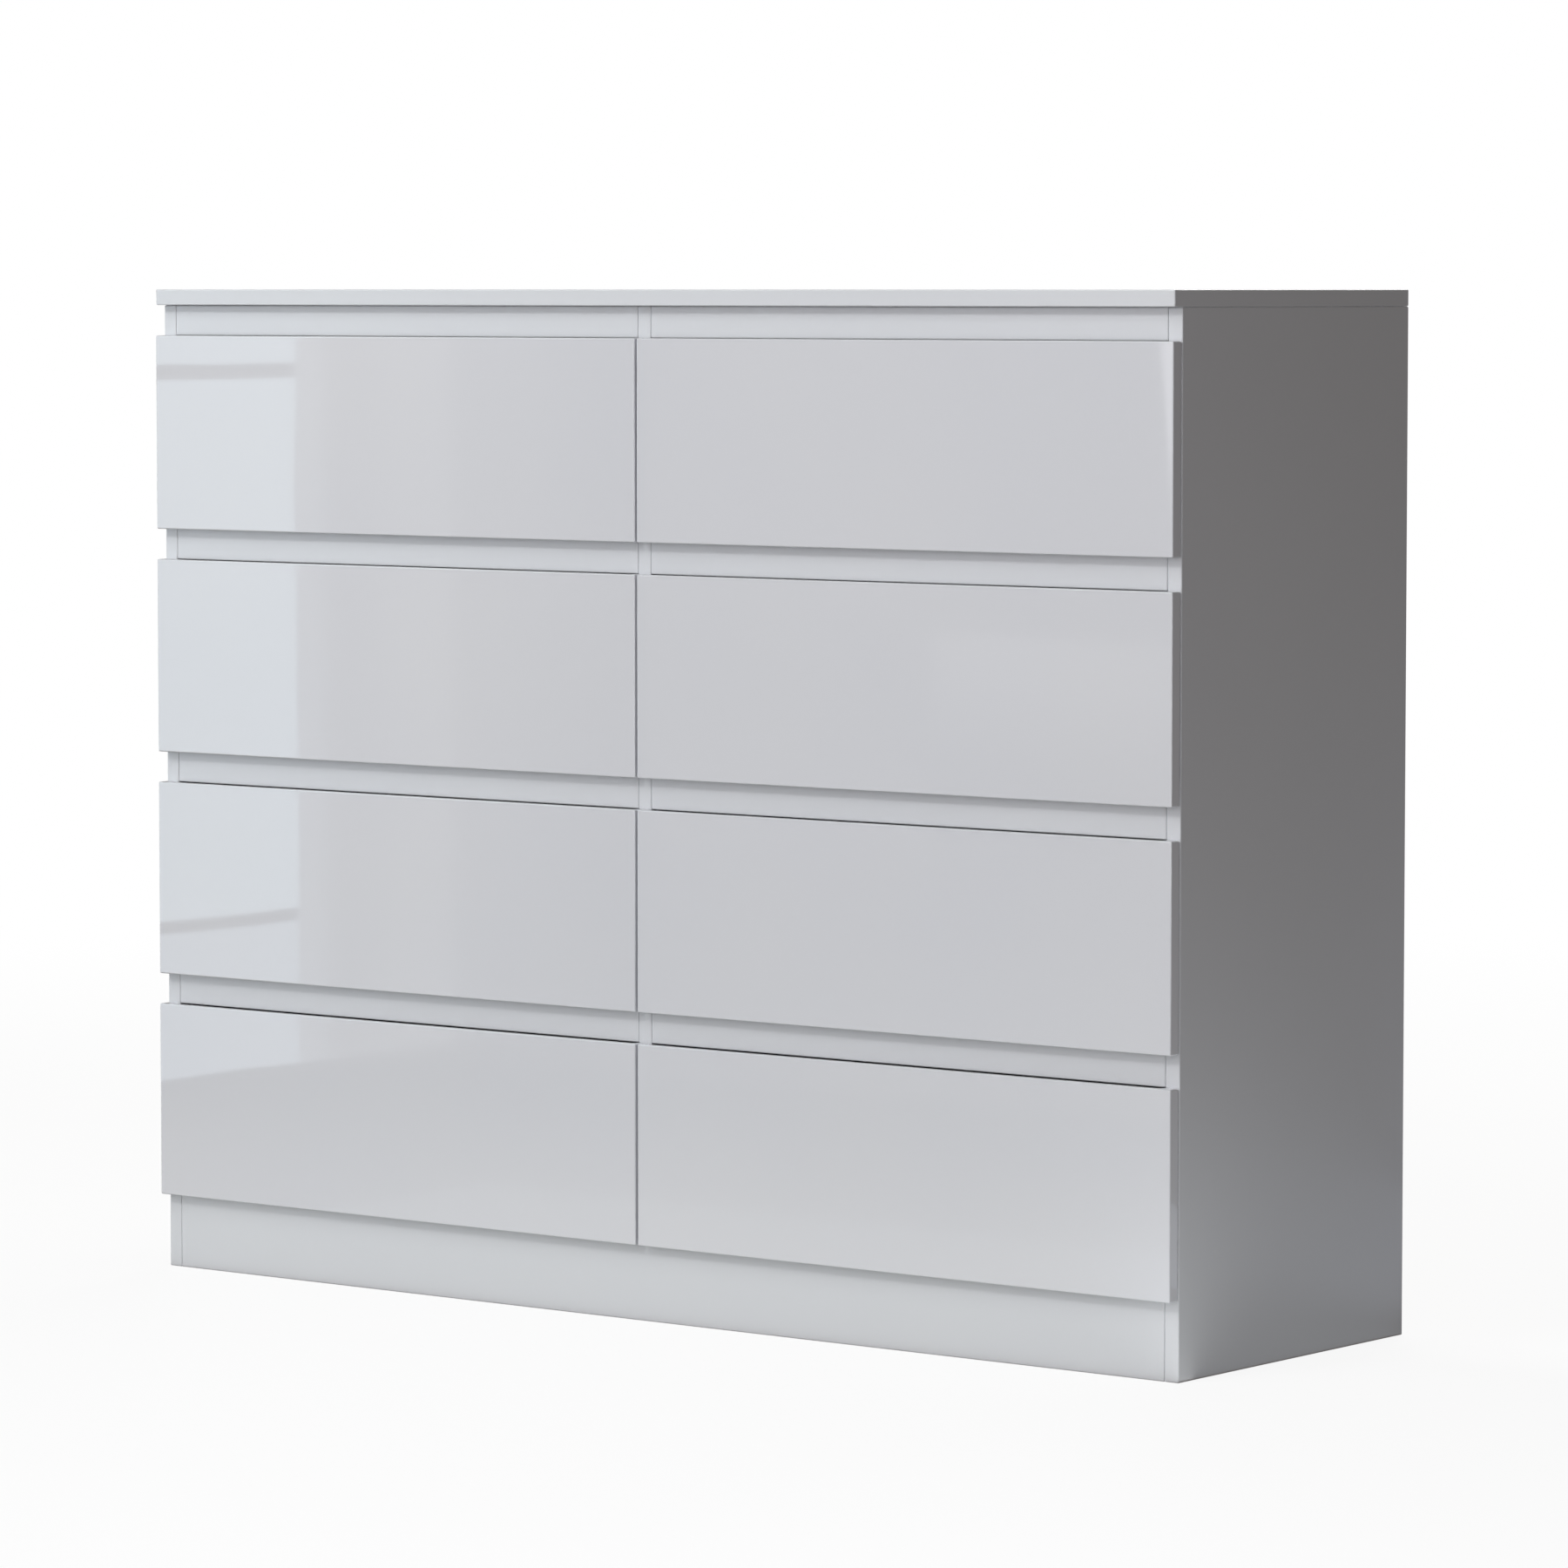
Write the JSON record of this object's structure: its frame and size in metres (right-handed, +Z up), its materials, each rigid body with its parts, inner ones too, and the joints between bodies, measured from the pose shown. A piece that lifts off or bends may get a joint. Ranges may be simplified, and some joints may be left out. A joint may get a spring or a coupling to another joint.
{
  "type": "dresser",
  "caption": "Wide dresser with two columns of flat glossy handle-less drawers, a recessed grip rail above each front, plain side panels, a thin top and a flush plinth.",
  "frame": {"origin": "on the floor, at the centre of the whole dresser's footprint", "axes": "+Z up, the drawers open towards -Y, +X to the right of a person who faces the fronts"},
  "size_m": [1.2, 0.3734, 0.955],
  "materials": {
    "white_board": "satin white melamine on particle board",
    "white_gloss": "high-gloss white film on fibreboard",
    "linen_foil": "pale linen-print foil wrapped round fibreboard",
    "hardboard": "raw brown hardboard, white on its inner face",
    "hardboard_white": "hardboard with a white upper face",
    "runner_plastic": "moulded off-white nylon",
    "zinc_steel": "zinc-plated sheet steel"
  },
  "bodies": {
    "carcass": {"top_panel": "white_board", "base_panel": "white_board", "centre_divider": "white_board", "plinth_front": "white_board", "plinth_rear": "white_board", "plinth_centre": "white_board", "side_panel_left": "white_board", "back_panel_left": "hardboard", "wall_bracket_left": "zinc_steel", "grip_rail_left_1": "white_board", "runner_left_1_outer": "runner_plastic", "runner_left_1_inner": "runner_plastic", "grip_rail_left_2": "white_board", "runner_left_2_outer": "runner_plastic", "runner_left_2_inner": "runner_plastic", "grip_rail_left_3": "white_board", "runner_left_3_outer": "runner_plastic", "runner_left_3_inner": "runner_plastic", "grip_rail_left_4": "white_board", "runner_left_4_outer": "runner_plastic", "runner_left_4_inner": "runner_plastic", "side_panel_right": "white_board", "back_panel_right": "hardboard", "wall_bracket_right": "zinc_steel", "grip_rail_right_1": "white_board", "runner_right_1_outer": "runner_plastic", "runner_right_1_inner": "runner_plastic", "grip_rail_right_2": "white_board", "runner_right_2_outer": "runner_plastic", "runner_right_2_inner": "runner_plastic", "grip_rail_right_3": "white_board", "runner_right_3_outer": "runner_plastic", "runner_right_3_inner": "runner_plastic", "grip_rail_right_4": "white_board", "runner_right_4_outer": "runner_plastic", "runner_right_4_inner": "runner_plastic"},
    "drawer_left_1": {"drawer_left_1_front": "white_gloss", "drawer_left_1_box": "linen_foil", "drawer_left_1_base": "hardboard_white"},
    "drawer_left_2": {"drawer_left_2_front": "white_gloss", "drawer_left_2_box": "linen_foil", "drawer_left_2_base": "hardboard_white"},
    "drawer_left_3": {"drawer_left_3_front": "white_gloss", "drawer_left_3_box": "linen_foil", "drawer_left_3_base": "hardboard_white"},
    "drawer_left_4": {"drawer_left_4_front": "white_gloss", "drawer_left_4_box": "linen_foil", "drawer_left_4_base": "hardboard_white"},
    "drawer_right_1": {"drawer_right_1_front": "white_gloss", "drawer_right_1_box": "linen_foil", "drawer_right_1_base": "hardboard_white"},
    "drawer_right_2": {"drawer_right_2_front": "white_gloss", "drawer_right_2_box": "linen_foil", "drawer_right_2_base": "hardboard_white"},
    "drawer_right_3": {"drawer_right_3_front": "white_gloss", "drawer_right_3_box": "linen_foil", "drawer_right_3_base": "hardboard_white"},
    "drawer_right_4": {"drawer_right_4_front": "white_gloss", "drawer_right_4_box": "linen_foil", "drawer_right_4_base": "hardboard_white"}
  },
  "joints": [
    {"name": "drawer_left_1_slide", "type": "slide", "parent": "carcass", "child": "drawer_left_1", "axis": [0, -1, 0], "range_m": [0, 0.25]},
    {"name": "drawer_left_2_slide", "type": "slide", "parent": "carcass", "child": "drawer_left_2", "axis": [0, -1, 0], "range_m": [0, 0.25]},
    {"name": "drawer_left_3_slide", "type": "slide", "parent": "carcass", "child": "drawer_left_3", "axis": [0, -1, 0], "range_m": [0, 0.25]},
    {"name": "drawer_left_4_slide", "type": "slide", "parent": "carcass", "child": "drawer_left_4", "axis": [0, -1, 0], "range_m": [0, 0.25]},
    {"name": "drawer_right_1_slide", "type": "slide", "parent": "carcass", "child": "drawer_right_1", "axis": [0, -1, 0], "range_m": [0, 0.25]},
    {"name": "drawer_right_2_slide", "type": "slide", "parent": "carcass", "child": "drawer_right_2", "axis": [0, -1, 0], "range_m": [0, 0.25]},
    {"name": "drawer_right_3_slide", "type": "slide", "parent": "carcass", "child": "drawer_right_3", "axis": [0, -1, 0], "range_m": [0, 0.25]},
    {"name": "drawer_right_4_slide", "type": "slide", "parent": "carcass", "child": "drawer_right_4", "axis": [0, -1, 0], "range_m": [0, 0.25]}
  ]
}
